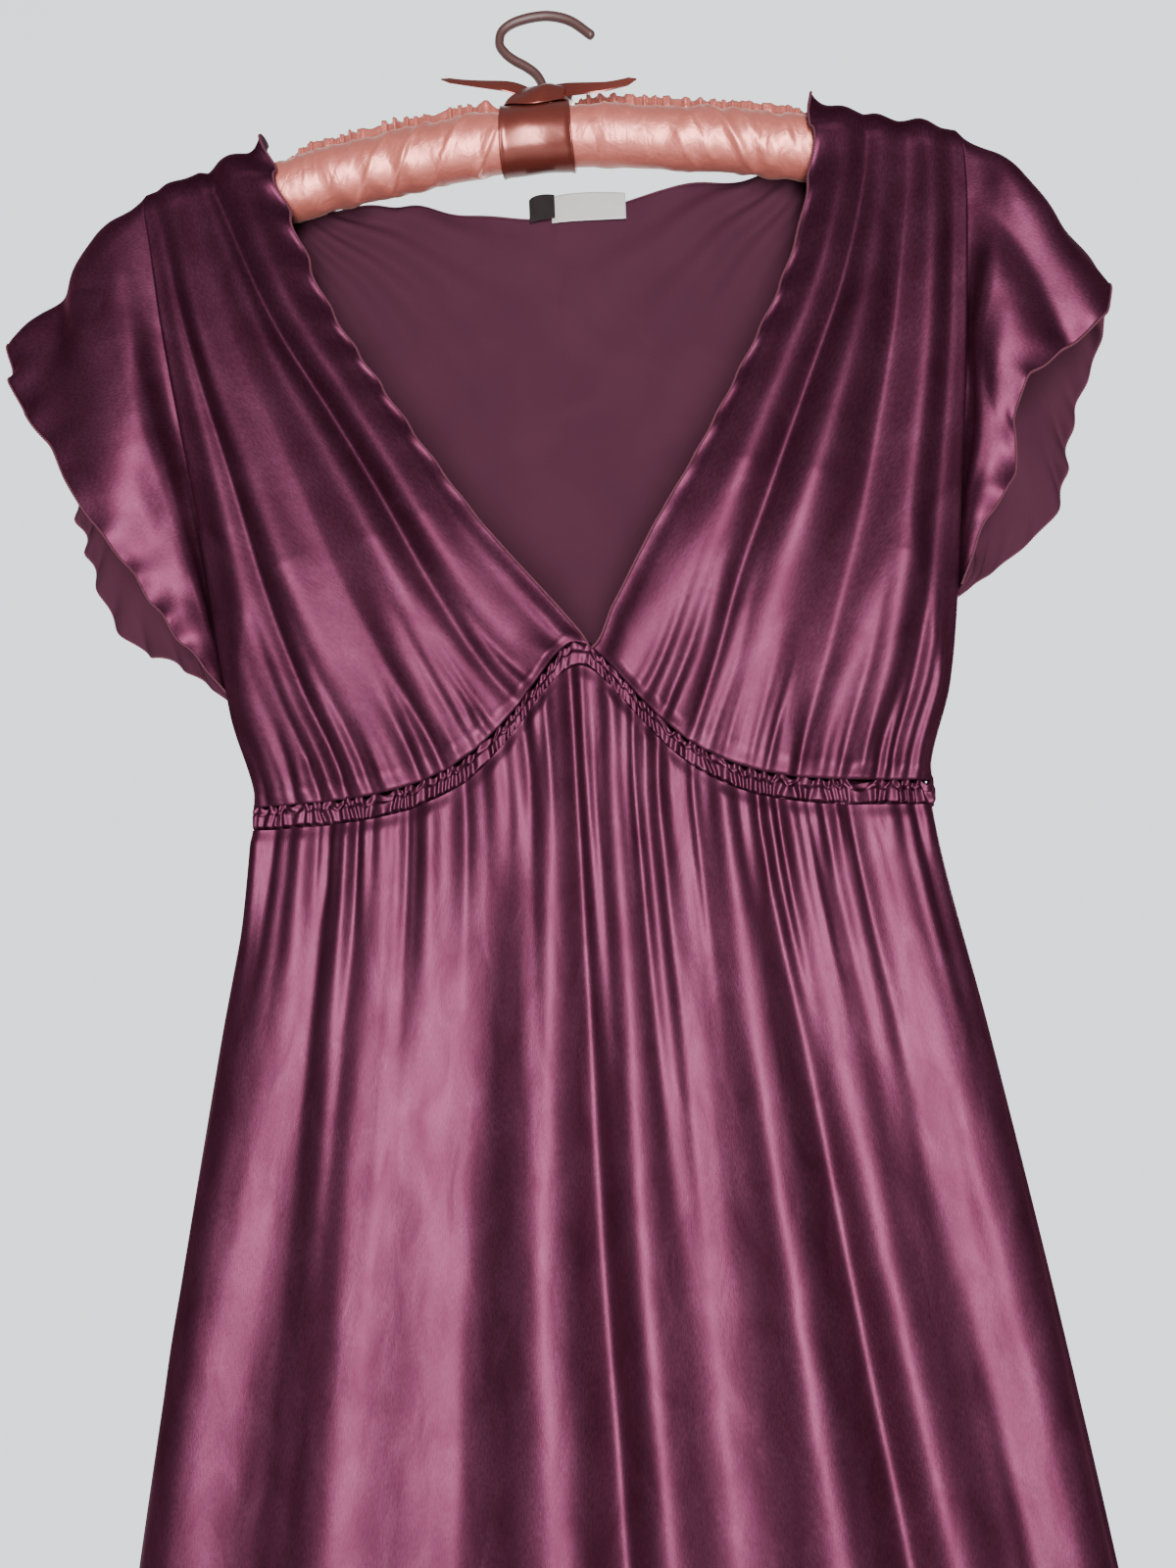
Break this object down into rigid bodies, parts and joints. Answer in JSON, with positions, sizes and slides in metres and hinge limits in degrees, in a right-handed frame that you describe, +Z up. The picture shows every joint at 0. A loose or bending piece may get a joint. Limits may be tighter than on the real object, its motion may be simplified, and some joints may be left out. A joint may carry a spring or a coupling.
{
  "type": "dress on padded hanger",
  "caption": "Satin empire-line dress with a V neck and flutter sleeves, gathered into an elastic waist, hanging on a padded hanger with a swivel hook.",
  "frame": {"origin": "underside of the crown of the hook's bend, where it rests on a rail; the hook's swivel axis passes through it", "axes": "+Z up, X across the shoulders with the wearer's right side at -X, -Y towards the front of the dress"},
  "size_m": [0.5614, 0.1256, 1.0661],
  "materials": {
    "hook_tube": "soft matt tube",
    "wire": "drawn steel wire",
    "beech": "plain sanded beech",
    "wadding": "soft polyester wadding",
    "coral_satin": "soft satin",
    "coral_ribbon": "double-faced satin ribbon",
    "plum_satin": "satin with a matt inner side",
    "plum_thread": "overlocked rolled edge",
    "elastic": "woven elastic",
    "label_grey": "pale satin label tape",
    "label_black": "dark woven label"
  },
  "bodies": {
    "hook": {"hook_tube": "hook_tube", "hook_wire": "wire", "hook_washer": "wire", "hook_head": "wire"},
    "hanger": {"core": "beech", "wadding_left": "wadding", "wadding_right": "wadding", "cover_left": "coral_satin", "cover_right": "coral_satin", "cover_frill_left": "coral_satin", "cover_frill_right": "coral_satin", "ribbon_band": "coral_ribbon", "ribbon_knot": "coral_ribbon", "ribbon_tail_left": "coral_ribbon", "ribbon_tail_right": "coral_ribbon"},
    "dress": {"bodice_front_left": "plum_satin", "bodice_front_right": "plum_satin", "bodice_back": "plum_satin", "sleeve_left": "plum_satin", "sleeve_right": "plum_satin", "waist_casing": "plum_satin", "casing_facing": "plum_satin", "waist_elastic": "elastic", "skirt_front": "plum_satin", "skirt_back": "plum_satin", "neck_edge_left": "plum_thread", "neck_edge_right": "plum_thread", "neck_edge_back": "plum_thread", "sleeve_edge_left": "plum_thread", "sleeve_edge_right": "plum_thread", "hem_edge_front": "plum_thread", "hem_edge_back": "plum_thread", "brand_label": "label_grey", "size_label": "label_black"}
  },
  "joints": [
    {"name": "hook_swivel", "type": "hinge", "parent": "hook", "child": "hanger", "pos_m": [0, 0, -0.0615], "axis": [0, 0, 1], "continuous": true},
    {"name": "dress_lift", "type": "slide", "parent": "hanger", "child": "dress", "axis": [0, 0, 1], "range_m": [0, 0.04]}
  ]
}
